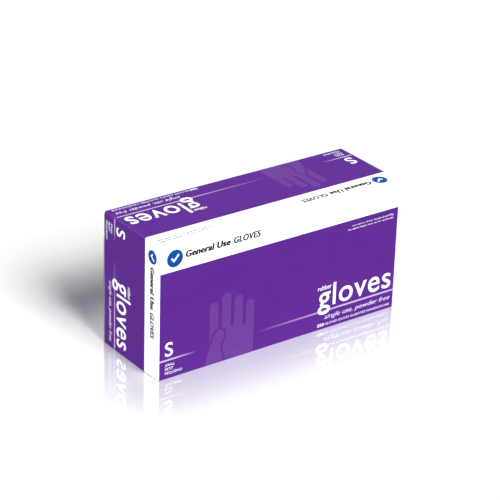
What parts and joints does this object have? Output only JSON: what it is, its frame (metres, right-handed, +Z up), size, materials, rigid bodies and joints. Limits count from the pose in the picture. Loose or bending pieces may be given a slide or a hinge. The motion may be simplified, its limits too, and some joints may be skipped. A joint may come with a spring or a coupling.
{
  "type": "folding carton of disposable gloves",
  "caption": "Closed printed folding carton packed with flat bundles of disposable gloves, with hinged tuck ends, dust flaps and a tear-open dispensing window in its back panel.",
  "frame": {"origin": "middle of the footprint, on the surface that the carton stands on", "axes": "+X along the carton's length, the large front panel faces -Y and the dispensing window faces +Y, +Z up"},
  "size_m": [0.24, 0.08, 0.118],
  "materials": {
    "printed_board": "satin varnish over full print",
    "bare_board": "uncoated, matt",
    "glove_film": "fine satin nitrile film"
  },
  "bodies": {
    "carton": {"front_panel": "printed_board", "back_panel": "printed_board", "top_panel": "printed_board", "bottom_panel": "printed_board", "seam_flap": "bare_board", "glove_bundle_01": "glove_film", "glove_bundle_02": "glove_film", "glove_bundle_03": "glove_film", "glove_bundle_04": "glove_film", "glove_bundle_05": "glove_film", "glove_bundle_06": "glove_film", "glove_bundle_07": "glove_film", "glove_bundle_08": "glove_film", "glove_bundle_09": "glove_film", "glove_bundle_10": "glove_film", "glove_bundle_11": "glove_film", "glove_bundle_12": "glove_film", "glove_bundle_13": "glove_film", "glove_bundle_14": "glove_film", "glove_bundle_15": "glove_film", "glove_bundle_16": "glove_film", "glove_bundle_17": "glove_film", "glove_bundle_18": "glove_film", "glove_bundle_19": "glove_film", "glove_bundle_20": "glove_film", "glove_bundle_21": "glove_film", "glove_bundle_22": "glove_film", "glove_bundle_23": "glove_film", "glove_bundle_24": "glove_film", "glove_bundle_25": "glove_film"},
    "left_end": {"left_end_panel": "printed_board"},
    "left_tuck_lip": {"left_tuck_lip": "printed_board"},
    "left_upper_dust_flap": {"left_upper_dust_flap": "bare_board"},
    "left_lower_dust_flap": {"left_lower_dust_flap": "bare_board"},
    "right_end": {"right_end_panel": "printed_board"},
    "right_tuck_lip": {"right_tuck_lip": "printed_board"},
    "right_upper_dust_flap": {"right_upper_dust_flap": "bare_board"},
    "right_lower_dust_flap": {"right_lower_dust_flap": "bare_board"},
    "window_flap": {"window_flap": "printed_board"},
    "thumb_tab": {"thumb_tab": "printed_board"}
  },
  "joints": [
    {"name": "left_end_fold", "type": "hinge", "parent": "carton", "child": "left_end", "pos_m": [-0.12, -0.04, 0.059], "axis": [0, 0, 1], "range_deg": [0, 240]},
    {"name": "left_tuck_fold", "type": "hinge", "parent": "left_end", "child": "left_tuck_lip", "pos_m": [-0.12, 0.0391, 0.059], "axis": [0, 0, 1], "range_deg": [0, 48]},
    {"name": "left_upper_dust_fold", "type": "hinge", "parent": "carton", "child": "left_upper_dust_flap", "pos_m": [-0.1191, 0, 0.118], "axis": [0, 1, 0], "range_deg": [0, 67.2]},
    {"name": "left_lower_dust_fold", "type": "hinge", "parent": "carton", "child": "left_lower_dust_flap", "pos_m": [-0.1191, 0, 0], "axis": [0, -1, 0], "range_deg": [0, 67.2]},
    {"name": "right_end_fold", "type": "hinge", "parent": "carton", "child": "right_end", "pos_m": [0.12, -0.04, 0.059], "axis": [0, 0, -1], "range_deg": [0, 240]},
    {"name": "right_tuck_fold", "type": "hinge", "parent": "right_end", "child": "right_tuck_lip", "pos_m": [0.12, 0.0391, 0.059], "axis": [0, 0, -1], "range_deg": [0, 48]},
    {"name": "right_upper_dust_fold", "type": "hinge", "parent": "carton", "child": "right_upper_dust_flap", "pos_m": [0.1191, 0, 0.118], "axis": [0, -1, 0], "range_deg": [0, 67.2]},
    {"name": "right_lower_dust_fold", "type": "hinge", "parent": "carton", "child": "right_lower_dust_flap", "pos_m": [0.1191, 0, 0], "axis": [0, 1, 0], "range_deg": [0, 67.2]},
    {"name": "window_flap_fold", "type": "hinge", "parent": "carton", "child": "window_flap", "pos_m": [0, 0.04, 0.081], "axis": [1, 0, 0], "range_deg": [0, 150]},
    {"name": "thumb_tab_fold", "type": "hinge", "parent": "carton", "child": "thumb_tab", "pos_m": [0, 0.0394, 0.037], "axis": [1, 0, 0], "range_deg": [0, 70]}
  ],
  "couplings": [
    {"joint": "left_tuck_fold", "follows": "left_end_fold", "ratio": 0.2},
    {"joint": "left_upper_dust_fold", "follows": "left_end_fold", "ratio": 0.28},
    {"joint": "left_lower_dust_fold", "follows": "left_end_fold", "ratio": 0.28},
    {"joint": "right_tuck_fold", "follows": "right_end_fold", "ratio": 0.2},
    {"joint": "right_upper_dust_fold", "follows": "right_end_fold", "ratio": 0.28},
    {"joint": "right_lower_dust_fold", "follows": "right_end_fold", "ratio": 0.28}
  ]
}
